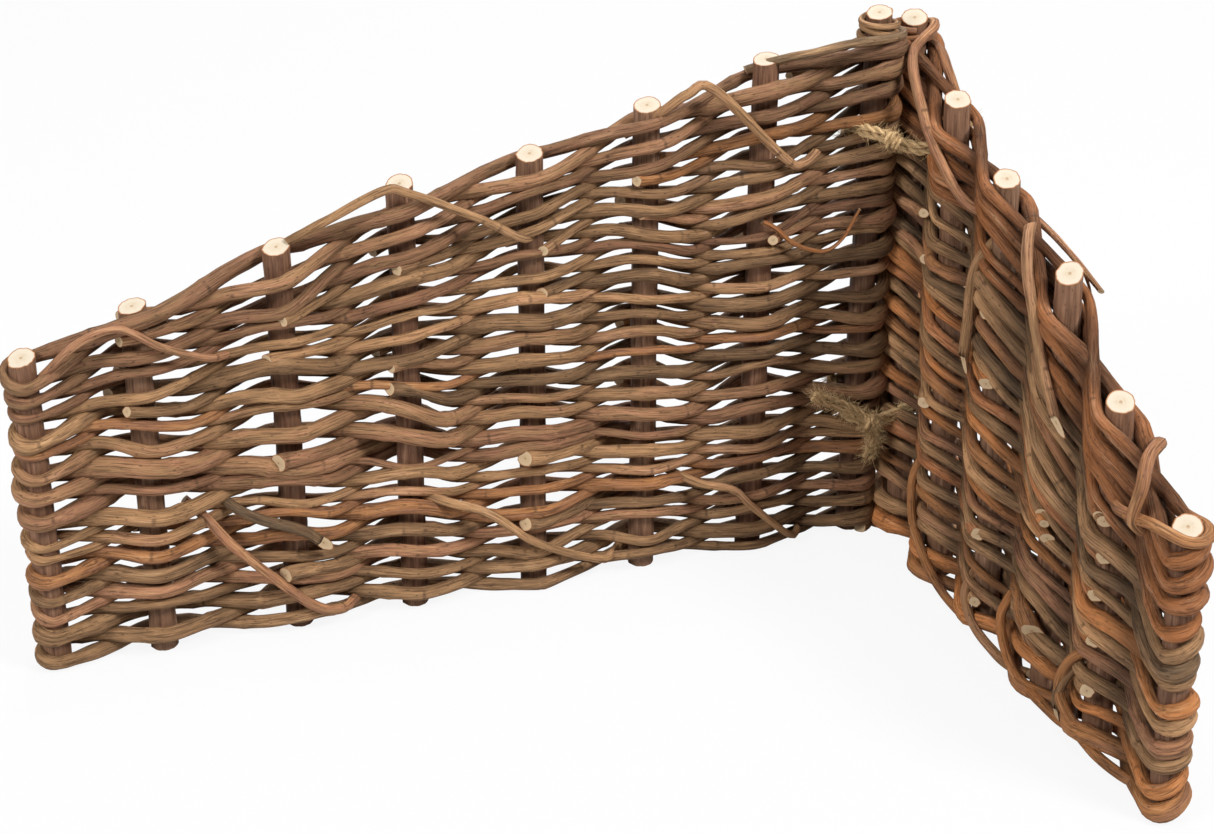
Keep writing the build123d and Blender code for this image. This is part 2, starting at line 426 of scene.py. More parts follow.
@dataclass(frozen=True)
class Palette:
    """The finishes of the screen.

    Attributes:
        rod: Finish of the woven rods.
        stake: Finish of the stakes.
        twine: Finish of the ties.
        floor: The floor's material.
    """

    rod: Finish
    stake: Finish
    twine: Finish
    floor: bpy.types.Material

    @classmethod
    def mixed(cls) -> "Palette":
        """Make every finish once."""
        rod = Bark(
            name="willow_rod_bark",
            stops=(
                (0.0, (0.165, 0.104, 0.056)),
                (0.2, (0.240, 0.130, 0.060)),
                (0.4, (0.350, 0.190, 0.086)),
                (0.55, (0.310, 0.140, 0.074)),
                (0.7, (0.350, 0.148, 0.050)),
                (0.86, (0.350, 0.122, 0.034)),
                (1.0, (0.290, 0.112, 0.044)),
            ),
            dark=(0.032, 0.015, 0.008),
            bloom=(0.500, 0.325, 0.180),
            wrinkle=1.15,
            relief=1.2,
            roughness=0.66,
        )
        stake = Bark(
            name="willow_stake_bark",
            stops=(
                (0.0, (0.155, 0.076, 0.042)),
                (0.4, (0.205, 0.102, 0.056)),
                (0.7, (0.235, 0.122, 0.068)),
                (1.0, (0.265, 0.150, 0.088)),
            ),
            dark=(0.085, 0.036, 0.022),
            bloom=(0.330, 0.205, 0.140),
            wrinkle=0.5,
            relief=0.4,
            roughness=0.6,
        )
        end = CutWood(
            name="willow_cut_end",
            wood=(0.58, 0.43, 0.265),
            heart=(0.48, 0.32, 0.17),
            pith=(0.26, 0.13, 0.06),
            rim=(0.34, 0.13, 0.045),
        )
        # Paler cut wood for the stakes' tops: partly the wood's own colour, partly painted light on the cuts
        # that face up to the lamps.
        top = CutWood(
            name="willow_cut_top",
            wood=(0.56, 0.49, 0.385),
            heart=(0.49, 0.38, 0.25),
            pith=(0.32, 0.19, 0.095),
            rim=(0.34, 0.14, 0.050),
        )
        jute = Jute(name="jute_twine", light=(0.76, 0.55, 0.30), deep=(0.36, 0.215, 0.095))
        ground = Ground(name="pale_floor", colour=(0.62, 0.62, 0.62), glow=0.9)
        twine = jute.material()
        return cls(
            rod=Finish(rod.material(), end.material(), "willow_bark"),
            stake=Finish(stake.material(), top.material(), "stake_bark"),
            twine=Finish(twine, twine, "jute"),
            floor=ground.material(),
        )


class Skin(Enum):
    """Material slots of a rod's mesh."""

    BARK = 0
    CUT = 1


@dataclass
class Rod:
    """One willow rod along a path.

    Attributes:
        points: Its centre line in millimetres.
        radii: Its radius at each point.
        tint: Where its bark lies between grey-brown, 0, and tan, 1.
        shade: How light its bark is.
        start: How it starts.
        finish: How it stops.
        facing: Direction that a slanting cut is turned to.
        sides: Faces round it.
        lumps: How uneven its section is, as a share of the radius.
        fade: Painted shade and painted light on its bark at a place, against the rest of it.
        tall: For each point, how much taller than wide its section is.
    """

    points: list[Vector]
    radii: list[float]
    tint: float
    shade: float
    start: End = End.BUTT
    finish: End = End.BUTT
    facing: Vector = field(default_factory=lambda: Vector((0.0, -1.0, 0.3)))
    sides: int = ROD_SIDES
    lumps: float = 0.07
    fade: Optional[Callable[[Vector], float]] = None
    tall: Sequence[float] = ()


class RodMesh:
    """Gathers rods into one mesh with grain, tint and shade stored on it; shade is each rod's own lightness
    times its painted shade and painted light.
    """

    GROUND = 0.2
    CAP_SHARES = (1.0, 0.9, 0.55, 0.2)
    CAP_DEPTH = 3.7
    LEAST_SLANT = 0.3
    SLANTS = {End.BUTT: (0.04, 1.0), End.FACING: (1.0, 0.6), End.TIP: (1.0, 0.0), End.SPLIT: (0.5, 1.0)}

    def __init__(self, name: str) -> None:
        """Start an empty mesh.

        Args:
            name: The piece's name.
        """
        self.name = name
        self.places: list[Vector] = []
        self.faces: list[tuple[int, ...]] = []
        self.skins: list[int] = []
        self.grain: list[Vector] = []
        self.tint: list[float] = []
        self.shade: list[float] = []
        self.rods = 0

    def add(self, rod: Rod) -> None:
        """Add one rod.

        Args:
            rod: The rod to add.
        """
        self.rods += 1
        tag = 173.0 * self.rods + 41.0 * len(self.name)
        runs = self.tangents(rod.points)
        normal = runs[0].orthogonal().normalized()
        length = 0.0
        rings: list[list[int]] = []
        for number, (point, run) in enumerate(zip(rod.points, runs)):
            if number:
                normal = (normal - run * normal.dot(run)).normalized()
                length += (point - rod.points[number - 1]).length
            rings.append(self._ring(rod, number, run, normal, length, tag))
        for near, far in zip(rings, rings[1:]):
            self._band(near, far, Skin.BARK)
        self._cap(rod, rings[0], True, tag)
        self._cap(rod, rings[-1], False, tag)

    def _point(self, place: Vector, grain: Vector, tint: float, shade: float) -> int:
        """Add a point and return its number."""
        self.places.append(place)
        self.grain.append(grain)
        self.tint.append(tint)
        self.shade.append(shade)
        return len(self.places) - 1

    def _band(self, near: Sequence[int], far: Sequence[int], skin: Skin, flipped: bool = False) -> None:
        """Join two rings, or a ring and one point, with faces."""
        for corner, here in enumerate(near):
            after = (corner + 1) % len(near)
            beyond = (far[after], far[corner]) if len(far) > 1 else (far[0],)
            face = (here, near[after], *beyond)
            self.faces.append(face[::-1] if flipped else face)
            self.skins.append(skin.value)

    def tangents(self, points: Sequence[Vector]) -> list[Vector]:
        """Direction of the path at each of its points."""
        last = len(points) - 1
        return [(points[min(i + 1, last)] - points[max(i - 1, 0)]).normalized() for i in range(last + 1)]

    def _cut_plane(self, rod: Rod, number: int, run: Vector) -> Optional[Vector]:
        """Normal of the cut where a ring is the rod's end."""
        if number not in (0, len(rod.points) - 1):
            return None
        outward, turned = self.SLANTS[rod.start if number == 0 else rod.finish]
        away = run * (-1 if number == 0 else 1)
        return (away * outward + rod.facing.normalized() * turned).normalized()

    def _ring(
        self, rod: Rod, number: int, run: Vector, normal: Vector, length: float, tag: float
    ) -> list[int]:
        """Add one ring of points and return their numbers."""
        point, radius = rod.points[number], rod.radii[number]
        side = run.cross(normal)
        cut = self._cut_plane(rod, number, run)
        tall = rod.tall[number] if rod.tall else 1.0
        ring = []
        for corner in range(rod.sides):
            angle = math.tau * corner / rod.sides
            flat = Vector((math.cos(angle), math.sin(angle), 0.0)) * radius
            where = Vector((flat.x * 0.5, flat.y * 0.5, length * 0.09 + tag))
            ridge = Vector((math.cos(angle) * 1.7, math.sin(angle) * 1.7, length * 0.02 + tag))
            swell = 1.0 + rod.lumps * (1.6 * noise.noise(where) + 1.3 * noise.noise(ridge))
            offset = (normal * flat.x + side * flat.y) * swell
            offset.z *= tall
            if cut is not None:
                slant = run.dot(cut)
                offset -= run * (offset.dot(cut) / math.copysign(max(abs(slant), self.LEAST_SLANT), slant))
            spot = point + offset
            spot.z = max(spot.z, self.GROUND)
            # The rod's own lightness times the painted shade and painted light at this point.
            shade = rod.shade * (rod.fade(spot) if rod.fade else 1.0)
            ring.append(self._point(spot, Vector((flat.x, flat.y, length + tag)), rod.tint, shade))
        return ring

    def _cap(self, rod: Rod, ring: list[int], first: bool, tag: float) -> None:
        """Close one end of a rod with end grain."""
        centre = sum((self.places[at] for at in ring), Vector()) / len(ring)
        depth = tag * self.CAP_DEPTH
        loops = []
        for share in self.CAP_SHARES:
            loop = []
            for corner, at in enumerate(ring):
                angle = math.tau * corner / rod.sides
                spoke = self.places[at] - centre
                reach = spoke.length * share
                grain = Vector((math.cos(angle) * reach, math.sin(angle) * reach, depth))
                loop.append(self._point(centre + spoke * share, grain, share, rod.shade))
            loops.append(loop)
        loops.append([self._point(centre, Vector((0.0, 0.0, depth)), 0.0, rod.shade)])
        for outer, inner in zip(loops, loops[1:]):
            self._band(outer, inner, Skin.CUT, flipped=first)

    def build(self, finish: Finish) -> bpy.types.Object:
        """Make the Blender object.

        Args:
            finish: Its materials.

        Returns:
            The new object.
        """
        mesh = bpy.data.meshes.new(self.name)
        mesh.from_pydata([place * MM for place in self.places], [], self.faces)
        mesh.materials.append(finish.side)
        mesh.materials.append(finish.cut)
        mesh.polygons.foreach_set("material_index", self.skins)
        mesh.polygons.foreach_set("use_smooth", [skin == Skin.BARK.value for skin in self.skins])
        grain = mesh.attributes.new("grain", "FLOAT_VECTOR", "POINT")
        grain.data.foreach_set("vector", [part for place in self.grain for part in place])
        mesh.attributes.new("tint", "FLOAT", "POINT").data.foreach_set("value", self.tint)
        mesh.attributes.new("shade", "FLOAT", "POINT").data.foreach_set("value", self.shade)
        mesh.update()
        piece = bpy.data.objects.new(self.name, mesh)
        bpy.context.scene.collection.objects.link(piece)
        LOG.info("%s: %d rods, %d faces", piece.name, self.rods, len(self.faces))
        return piece

    def fit(self, finish: Finish, panel: str, node: str = "") -> bpy.types.Object:
        """Make the object as a piece that rides on a panel.

        Args:
            finish: Its finish.
            panel: left or right.
            node: The CAD node that it replaces, if any.

        Returns:
            The new piece.
        """
        piece = self.build(finish)
        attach(piece, f"{panel}_panel")
        if node:
            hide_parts(node)
        return piece


def smooth(share: float) -> float:
    """Smooth rise from 0 to 1."""
    share = min(max(share, 0.0), 1.0)
    return share * share * (3 - 2 * share)


def window(s: float, low: float, high: float) -> float:
    """1 from low to high, fading to 0 on both sides."""
    return smooth((s - low + WINDOW_FADE) / WINDOW_FADE) * smooth((high + WINDOW_FADE - s) / WINDOW_FADE)


def curve_through(points: Sequence[Vector], step: float) -> list[Vector]:
    """Evenly spaced points on a smooth curve through given points.

    Args:
        points: Points to pass through.
        step: Distance between the points returned.

    Returns:
        The points of the curve.
    """
    ends = [points[0] * 2 - points[1], *points, points[-1] * 2 - points[-2]]
    found = []
    for before, a, b, after in zip(ends, ends[1:], ends[2:], ends[3:]):
        count = max(2, round((b - a).length / step))
        for number in range(count):
            t = number / count
            bend = a * 2 + (b - before) * t
            bend += (before * 2 - a * 5 + b * 4 - after) * t * t
            bend += (a * 3 - before - b * 3 + after) * t * t * t
            found.append(bend / 2)
    found.append(points[-1].copy())
    return found


@dataclass(frozen=True)
class Course:
    """One course of the weave.

    Attributes:
        reach: How far from the corner it goes.
        weight: Its thickness, against the others.
        short: Whether it is one of the short rods that fan the weave out.
    """

    reach: float
    weight: float
    short: bool


@dataclass(frozen=True)
class Join:
    """A place where one rod of a course ends and the next has begun.

    Attributes:
        course: The course's number from the ground.
        stake: The stake that the old rod ends at.
        step: 1 where the rods run outwards, -1 where they run to the corner.
        bays: Over how many bays both rods lie side by side.
    """

    course: int
    stake: int
    step: int
    bays: int


@dataclass(frozen=True)
class Leg:
    """A stretch of one course that a rod follows.

    Attributes:
        course: The course's number from the ground.
        start: Distance from the corner where the rod joins the course.
        finish: Distance from the corner where it leaves it.
        lift: How far it is pushed up, or down, where two rods share the course.
        shared: From where to where they share it.
    """

    course: int
    start: float
    finish: float
    lift: float = 0.0
    shared: tuple[float, float] = (0.0, 0.0)


@dataclass
class Hurdle:
    """One woven panel, on the stakes of the frame.

    Attributes:
        name: left or right.
        along: Direction from the corner to its outer end.
        inward: Direction to the inside of the corner.
        lean_deg: How far its stakes lean towards the corner.
        bare_tops: For each stake, how much of it stands above the weave.
        bare_feet: For each stake, how much of it stands below the weave.
        foot_slack: How far the lowest rods stand off the stakes.
        long_courses: Courses that run its whole length.
        short_ends: Distance and height of the ends of each pair of short rods.
        joins_shown: Distance and height of other cut ends that show on the inside.
        warm: How much orange bark it has.
        seed: Seed of everything uneven in it.
        groups: Pieces that its rods are gathered in.
        fullness: Thickness of its rods, against the room that each course has.
        painted_depth_shade: How much painted shade darkens the bark deep in the weave, where the rods hide
            each other from the light.
        painted_corner_shade: How much painted shade darkens the bark near the corner, where the other panel
            shades it; below 0 it is painted light there instead.
    """

    name: str
    along: Vector
    inward: Vector
    lean_deg: float
    bare_tops: tuple[float, ...]
    bare_feet: tuple[float, ...]
    foot_slack: float
    long_courses: int
    short_ends: tuple[tuple[float, float], ...]
    joins_shown: tuple[tuple[float, float], ...]
    warm: float
    seed: int
    groups: int
    fullness: float
    # Painted shade deep in the weave.
    painted_depth_shade: float
    # Painted shade near the corner; a negative share paints light there.
    painted_corner_shade: float

    RAMP: ClassVar[float] = 62.0
    PAST_STAKE: ClassVar[float] = 9.0
    BEND: ClassVar[float] = 0.2
    COLUMN: ClassVar[float] = 3.0
    CORNER_SHRINK: ClassVar[float] = 1.08
    OUTER_SHRINK: ClassVar[float] = 0.76
    CORNER_LOOSENESS: ClassVar[float] = 0.2
    OUTER_LOOSENESS: ClassVar[float] = -1.8
    SLIP: ClassVar[float] = 2.1
    SLIP_REACH: ClassVar[float] = 28.0
    EDGE_ROOM: ClassVar[float] = 9.0
    SWAY: ClassVar[float] = 5.4
    SHARED_GROWTH: ClassVar[float] = 0.35
    SHARED_THINNING: ClassVar[float] = 0.28
    SHARED_LIFT: ClassVar[float] = 0.62
    LEAST_RADIUS: ClassVar[float] = 1.7
    LEAST_SHORT_RADIUS: ClassVar[float] = 2.75
    TURN_DEGREES: ClassVar[int] = 15
    SPRING_POINTS: ClassVar[int] = 6
    WHOLE_AT_TOP: ClassVar[int] = 5

    def __post_init__(self) -> None:
        """Read the stakes from the frame and lay out the courses."""
        self.random = random.Random(self.seed)
        self.lean = math.tan(math.radians(self.lean_deg))
        self.tops: list[float] = []
        feet = []
        for number in range(len(self.bare_tops)):
            low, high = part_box(f"{self.name}_stake_{number + 1}")
            foot = Vector(((low[0] + high[0]) / 2, (low[1] + high[1]) / 2, 0.0)) / MM
            feet.append(foot + self.along * (high[2] / MM * self.lean / 2))
            self.tops.append(high[2] / MM)
        self.corner = feet[0]
        self.stakes = [(foot - feet[0]).dot(self.along) for foot in feet]
        self.courses = self._order_courses()
        self.slips = [[self._slip() for _ in self.stakes] for _ in self.courses]
        self.looseness = [self.CORNER_LOOSENESS, *[0.0] * (len(self.stakes) - 2), self.OUTER_LOOSENESS]
        self.columns: list[list[tuple[float, float]]] = []
        self._settle([])
        self.joins = self._choose_joins()
        self._settle(self.joins)

    def _slip(self) -> float:
        """Small random move, never a large one."""
        most = 1.7 * self.SLIP
        return min(max(self.random.gauss(0.0, self.SLIP), -most), most)

    def place(self, s: float, v: float, z: float) -> Vector:
        """Point of the panel in the object's frame."""
        return self.corner + self.along * (s - z * self.lean) + self.inward * v + Vector((0, 0, z))

    def _distance(self, place: Vector) -> float:
        """How far out along the panel a point of the object's frame is."""
        return (place - self.corner).dot(self.along) + place.z * self.lean

    def top(self, s: float) -> float:
        """Height of the weave at s."""
        return self._between(s, [top - bare for top, bare in zip(self.tops, self.bare_tops)])

    def _between(self, s: float, heights: Sequence[float]) -> float:
        """Height at s on a soft line through a height at each stake."""
        stake = self._stake_before(s)
        near, far = self.stakes[stake], self.stakes[stake + 1]
        share = min(max((s - near) / (far - near), 0.0), 1.0)
        return heights[stake] + (heights[stake + 1] - heights[stake]) * (share * 0.6 + smooth(share) * 0.4)

    def _stake_before(self, s: float) -> int:
        """Number of the last stake before s."""
        before = [i for i, at in enumerate(self.stakes[:-1]) if at <= s]
        return before[-1] if before else 0

    def _nearest(self, s: float, choices: Iterable[int]) -> int:
        """Number of the stake nearest to s."""
        return min(choices, key=lambda i: abs(self.stakes[i] - s))

    def _order_courses(self) -> list[Course]:
        """Order the courses from the ground up, with short pairs wedged between the long ones."""
        last = self.stakes[-1]
        courses = [Course(last, self.random.uniform(0.72, 1.28), False) for _ in range(self.long_courses)]
        for s, z in sorted(self.short_ends, reverse=True):
            stake = self._nearest(s, range(1, len(self.stakes) - 1))
            reach = self.stakes[stake] + self.PAST_STAKE
            wanted = z / self.top(s) * len(courses)
            gaps = [i for i in range(1, len(courses)) if self._is_gap(courses[:i])]
            at = min(gaps, key=lambda i: abs(i - wanted))
            pair = [
                Course(reach + self.random.uniform(-3, 3), self.random.uniform(0.8, 1.2), True),
                Course(reach + self.random.uniform(-14, 6), self.random.uniform(0.8, 1.2), True),
            ]
            courses[at:at] = pair
        return courses

    def _is_gap(self, below: Sequence[Course]) -> bool:
        """Whether a short pair may lie on these courses, so that all the turns stay in pairs."""
        longs = [i for i, course in enumerate(below) if not course.short]
        shorts_on_top = len(below) - 1 - longs[-1]
        return len(longs) % 2 == 1 and shorts_on_top % 2 == 0

    def _shared(self, join: Join) -> tuple[float, float]:
        """From where to where both rods of a join lie side by side."""
        here, before = self.stakes[join.stake], self.stakes[join.stake - join.step * join.bays]
        return min(here, before), max(here, before)

    def _settle(self, joins: Sequence[Join]) -> None:
        """Stack the courses at evenly spaced places along the panel.

        Args:
            joins: Where courses are two rods thick.
        """
        by_course = {join.course: join for join in joins}
        self.columns = []
        for step in range(math.ceil(self.stakes[-1] / self.COLUMN) + 1):
            s = step * self.COLUMN
            weights = []
            for number, course in enumerate(self.courses):
                taper = noise.noise(Vector((s / 170.0, number * 3.7, self.seed)))
                weight = course.weight * (1.0 + 0.3 * taper)
                if course.short:
                    weight *= smooth((course.reach + 6.0 - s) / self.RAMP + 0.22)
                if number in by_course:
                    weight *= 1.0 + self.SHARED_GROWTH * window(s, *self._shared(by_course[number]))
                weights.append(weight)
            floor = self._between(s, self.bare_feet)
            room = self.top(s) - floor
            scale = room / sum(weights)
            below = 0.0
            column = []
            for weight in weights:
                middle = (below + weight / 2) * scale
                sway = noise.noise(Vector((s / 60.0, middle / 34.0, self.seed * 1.7)))
                edge = min(middle, room - middle) / 18.0
                middle += self.SWAY * sway * min(edge, 1.0)
                column.append((floor + middle, weight * scale / 2))
                below += weight
            self.columns.append(column)

    def height(self, number: int, s: float) -> tuple[float, float]:
        """Height of the middle of a course at s, and its radius there."""
        where = min(max(s / self.COLUMN, 0.0), len(self.columns) - 1.001)
        column = int(where)
        share = where - column
        low, low_radius = self.columns[column][number]
        high, high_radius = self.columns[column + 1][number]
        radius = low_radius + (high_radius - low_radius) * share
        return low + (high - low) * share, radius

    def side(self, number: int, stake: int) -> int:
        """1 where a course passes the inside of a stake, -1 where it passes behind."""
        return 1 if (number + stake) % 2 else -1

    def _depth(self, number: int, stake: int) -> float:
        """How far a course stands off the middle of a stake."""
        z, radius = self.height(number, self.stakes[stake])
        slack = self.foot_slack * smooth(1.2 - z / 20.0) if 0 < stake < len(self.stakes) - 1 else 0.0
        full = self.fullness * radius * self._shrink(stake)
        return STAKE_RADIUS + 0.1 + self.looseness[stake] + slack + full

    def _shrink(self, stake: int) -> float:
        """How much thinner a rod is where it turns round a stake."""
        if stake == 0:
            return self.CORNER_SHRINK
        return self.OUTER_SHRINK if stake == len(self.stakes) - 1 else 1.0

    def across(self, number: int, s: float) -> float:
        """Depth of a course from the middle plane at s: straight runs with a bend at each stake."""
        stake = self._stake_before(s)
        near, far = self.stakes[stake], self.stakes[stake + 1]
        share = min(max((s - near) / (far - near), 0.0), 1.0)
        if share > 0.5:
            return self.side(number, stake + 1) * self._depth(number, stake + 1) * self._bend(2 - 2 * share)
        return self.side(number, stake) * self._depth(number, stake) * self._bend(2 * share)

    def _bend(self, x: float) -> float:
        """Fall from 1 at a stake to 0 half way to the next, rounded at the stake."""
        full = math.hypot(1, self.BEND)
        return (full - math.hypot(x, self.BEND)) / (full - self.BEND)

    def nudge(self, number: int, s: float) -> float:
        """Uneven height of a course at the stakes, none where courses cross."""
        total = 0.0
        for stake, at in enumerate(self.stakes):
            gap = abs(s - at)
            if gap < self.SLIP_REACH:
                total += self.slips[number][stake] * math.cos(math.pi * gap / (2 * self.SLIP_REACH)) ** 2
        room = min(self.height(number, s)[0], self.top(s) - self.height(number, s)[0])
        return total * min(room / self.EDGE_ROOM, 1.0)

    def sample(self, leg: Leg) -> list[tuple[Vector, float]]:
        """Points and radii of a rod along one leg."""
        span = leg.finish - leg.start
        count = max(3, round(abs(span) / ROD_STEP))
        found = []
        for step in range(count + 1):
            s = leg.start + span * step / count
            z, radius = self.height(leg.course, s)
            z += self.nudge(leg.course, s)
            end_gap = min(s, self.stakes[-1] - s) / 20.0
            shrink = self._shrink(0 if s < self.stakes[-1] / 2 else len(self.stakes) - 1)
            radius *= self.fullness * (shrink + (1 - shrink) * smooth(end_gap))
            if leg.lift:
                side_by_side = window(s, *leg.shared)
                z += leg.lift * side_by_side * radius
                radius *= 1.0 - self.SHARED_THINNING * side_by_side
            least = self.LEAST_SHORT_RADIUS if self.courses[leg.course].short else self.LEAST_RADIUS
            found.append((self.place(s, self.across(leg.course, s), z), max(radius, least)))
        return found

    def wrap(self, first: int, second: int, stake: int) -> list[tuple[Vector, float]]:
        """Points that carry a rod round an end stake from one course to the next."""
        at = self.stakes[stake]
        outward = -1 if stake == 0 else 1
        low, radius = self.height(first, at)
        high, after = self.height(second, at)
        low += self.nudge(first, at)
        high += self.nudge(second, at)
        side = self.side(first, stake)
        near, far = self._depth(first, stake), self._depth(second, stake)
        bulge = self.random.uniform(1.0, 1.04)
        flattening = self.random.uniform(0.0, 0.22)
        found = []
        for turn in range(self.TURN_DEGREES, 180, self.TURN_DEGREES):
            angle = math.radians(turn)
            share = smooth(turn / 180)
            reach = near + (far - near) * share
            s = at + outward * reach * bulge * math.sin(angle)
            v = side * reach * math.cos(angle)
            size = (radius + (after - radius) * share) * self.fullness * self._shrink(stake)
            size *= 1.0 + (flattening + 0.16 * self.warm) * math.sin(angle)
            found.append((self.place(s, v, low + (high - low) * share), size))
        return found

    def rods(self) -> list[Rod]:
        """All the rods of the weave."""
        last = self.stakes[-1]
        chains = self._cut_up()
        shorts = [i for i, course in enumerate(self.courses) if course.short]
        for first, second in zip(shorts[::2], shorts[1::2]):
            start, finish = self.courses[first].reach, self.courses[second].reach
            chains.append([Leg(first, min(start, last), 0.0), Leg(second, 0.0, min(finish, last))])
        return [self._rod(chain) for chain in chains]

    def _steps(self) -> dict[int, int]:
        """For each long course, the way that its rod runs."""
        longs = [i for i, course in enumerate(self.courses) if not course.short]
        return {number: 1 if order % 2 == 0 else -1 for order, number in enumerate(longs)}

    def _choose_joins(self) -> list[Join]:
        """Choose the joins: the shown ones where they are seen, the rest behind the panel."""
        steps = self._steps()
        inner = range(1, len(self.stakes) - 1)
        chosen: dict[int, Join] = {}
        for s, z in self.joins_shown:
            stake = self._nearest(s, range(3, len(self.stakes) - 1, 2))
            facing = [i for i in steps if self.side(i, stake) == 1 and i not in chosen]
            number = min(facing, key=lambda i: abs(self.height(i, self.stakes[stake])[0] - z))
            chosen[number] = Join(number, stake, steps[number], 1)
        since = 0
        for number, step in steps.items():
            since = 0 if number in chosen else since + 1
            if since >= 2 and number < len(self.courses) - self.WHOLE_AT_TOP:
                behind = [i for i in inner if self.side(number, i) == -1]
                chosen[number] = Join(number, self.random.choice(behind), step, 0)
                since = 0
        return list(chosen.values())

    def _cut_up(self) -> list[list[Leg]]:
        """Cut the endless rod of the long courses into rods of real lengths."""
        by_course = {join.course: join for join in self.joins}
        last = self.stakes[-1]
        chains: list[list[Leg]] = []
        current: list[Leg] = []
        for number, step in self._steps().items():
            start, finish = (0.0, last) if step > 0 else (last, 0.0)
            join = by_course.get(number)
            if join is None:
                current.append(Leg(number, start, finish))
                continue
            here, before = self.stakes[join.stake], self.stakes[join.stake - join.step * join.bays]
            shared = self._shared(join)
            above = self.random.choice((-1, 1)) * self.SHARED_LIFT
            past = min(max(here + step * self.PAST_STAKE, 0.0), last)
            begin = before - step * self.PAST_STAKE
            current.append(Leg(number, start, past, above, shared))
            chains.append(current)
            current = [Leg(number, begin, finish, -above, shared)]
        chains.append(current)
        return chains

    def _rod(self, chain: Sequence[Leg]) -> Rod:
        """Make the rod that follows a chain of legs."""
        samples: list[tuple[Vector, float]] = []
        for number, leg in enumerate(chain):
            samples += self.sample(leg)
            if number < len(chain) - 1:
                stake = 0 if leg.finish < leg.start else len(self.stakes) - 1
                samples += self.wrap(leg.course, chain[number + 1].course, stake)
        free = {}
        for leg, first in ((chain[0], True), (chain[-1], False)):
            at = leg.start if first else leg.finish
            turned = at in (0.0, self.stakes[-1]) and not self.courses[leg.course].short
            free[first] = not turned
            if turned:
                turn = self.wrap(leg.course, leg.course, 0 if at == 0.0 else len(self.stakes) - 1)
                samples = turn[::-1] + samples if first else samples + turn
        points = [point for point, _ in samples]
        tag = self.random.uniform(0, 500)
        butt_first = self.random.random() < 0.5
        radii = []
        for number, (_, radius) in enumerate(samples):
            share = number / (len(samples) - 1)
            share = share if butt_first else 1 - share
            radii.append(radius * (1.06 - 0.16 * share))
            length = number * ROD_STEP
            wave = noise.noise(Vector((length / 26.0, tag, 0.0)))
            ripple = noise.noise(Vector((length / 17.0, tag, 9.0)))
            points[number] = points[number] + Vector((0, 0, 0.75 * wave)) + self.inward * (0.45 * ripple)
        self._add_buds(radii)
        for first, way in ((True, 1), (False, -1)):
            if free[first]:
                self._spring(points, radii, way)
        return Rod(
            points,
            radii,
            tint=min(max(self.random.gauss(0.36 + 0.32 * self.warm, 0.13 + 0.14 * self.warm), 0.0), 1.0),
            shade=self.random.uniform(0.72, 1.32) * (1.0 + 0.2 * self.warm),
            start=End.FACING,
            finish=End.FACING,
            facing=self.inward + Vector((0, 0, 0.35)),
            fade=self.light_at,
            tall=self._flatten(points),
        )

    def light_at(self, place: Vector) -> float:
        """Painted shade in the bark at a place: darker deep in the weave, where rods hide each other, and
        towards the corner, where the other panel shades it; a negative corner share paints light there.
        """
        s = self._distance(place)
        v = (place - self.corner).dot(self.inward)
        out = math.hypot(v, max(-s, s - self.stakes[-1], 0.0))
        # Painted shade where the point lies deep in the weave, and near the corner, where a negative share
        # paints light instead.
        deep = 1.0 - smooth((out - 4.0) / 8.0)
        return (1.0 - self.painted_depth_shade * deep) * (1.0 - self.painted_corner_shade * (1.0 - smooth(s / 150.0)))

    def _flatten(self, points: Sequence[Vector]) -> list[float]:
        """How much taller than wide a rod is along its way, pressed flat round the end stakes."""
        press = self.random.uniform(0.1, 0.6)
        found = []
        for point in points:
            s = self._distance(point)
            found.append(1.0 + press * smooth((max(-s, s - self.stakes[-1]) + 8.0) / 15.0))
        return found

    def _add_buds(self, radii: list[float]) -> None:
        """Swell a rod a little at its bud scars."""
        at = self.random.uniform(2.0, 12.0)
        while at < len(radii) - 2:
            middle = round(at)
            for number in (middle - 1, middle, middle + 1):
                radii[number] *= 1.12 if number == middle else 1.04
            at += self.random.uniform(8.0, 18.0)

    def _spring(self, points: list[Vector], radii: list[float], way: int) -> None:
        """Let the end of a rod stand a little off the weave."""
        reach = self.SPRING_POINTS
        order = range(reach) if way > 0 else range(len(points) - 1, len(points) - 1 - reach, -1)
        plane = self.inward.dot(points[0 if way > 0 else -1] - self.corner)
        push = self.inward * min(max(plane / 8.0, -1.0), 1.0)
        size = self.random.uniform(3.0, 5.5)
        for number, i in enumerate(order):
            points[i] = points[i] + push * (size * (1 - number / reach) ** 1.6)
            radii[i] *= 1.0 + 0.16 * (1 - number / reach)

    def weave(self, palette: Palette) -> list[bpy.types.Object]:
        """Make the woven rods as a few pieces.

        Args:
            palette: The finishes.

        Returns:
            The new pieces.
        """
        rods = self.rods()
        pieces = []
        for group in range(self.groups):
            mesh = RodMesh(f"{self.name}_weavers_{group + 1}")
            for rod in rods[group :: self.groups]:
                mesh.add(rod)
            pieces.append(mesh.fit(palette.rod, self.name, f"{self.name}_weave"))
        return pieces

    def stake_pieces(self, palette: Palette) -> list[bpy.types.Object]:
        """Make the stakes with bark and cut tops.

        Args:
            palette: The finishes.

        Returns:
            The new pieces.
        """
        pieces = []
        for number, s in enumerate(self.stakes):
            node = f"{self.name}_stake_{number + 1}"
            mesh = RodMesh(f"{node}_bark")
            mesh.add(self._stake_rod(s, self.tops[number]))
            pieces.append(mesh.fit(palette.stake, self.name, node))
        return pieces

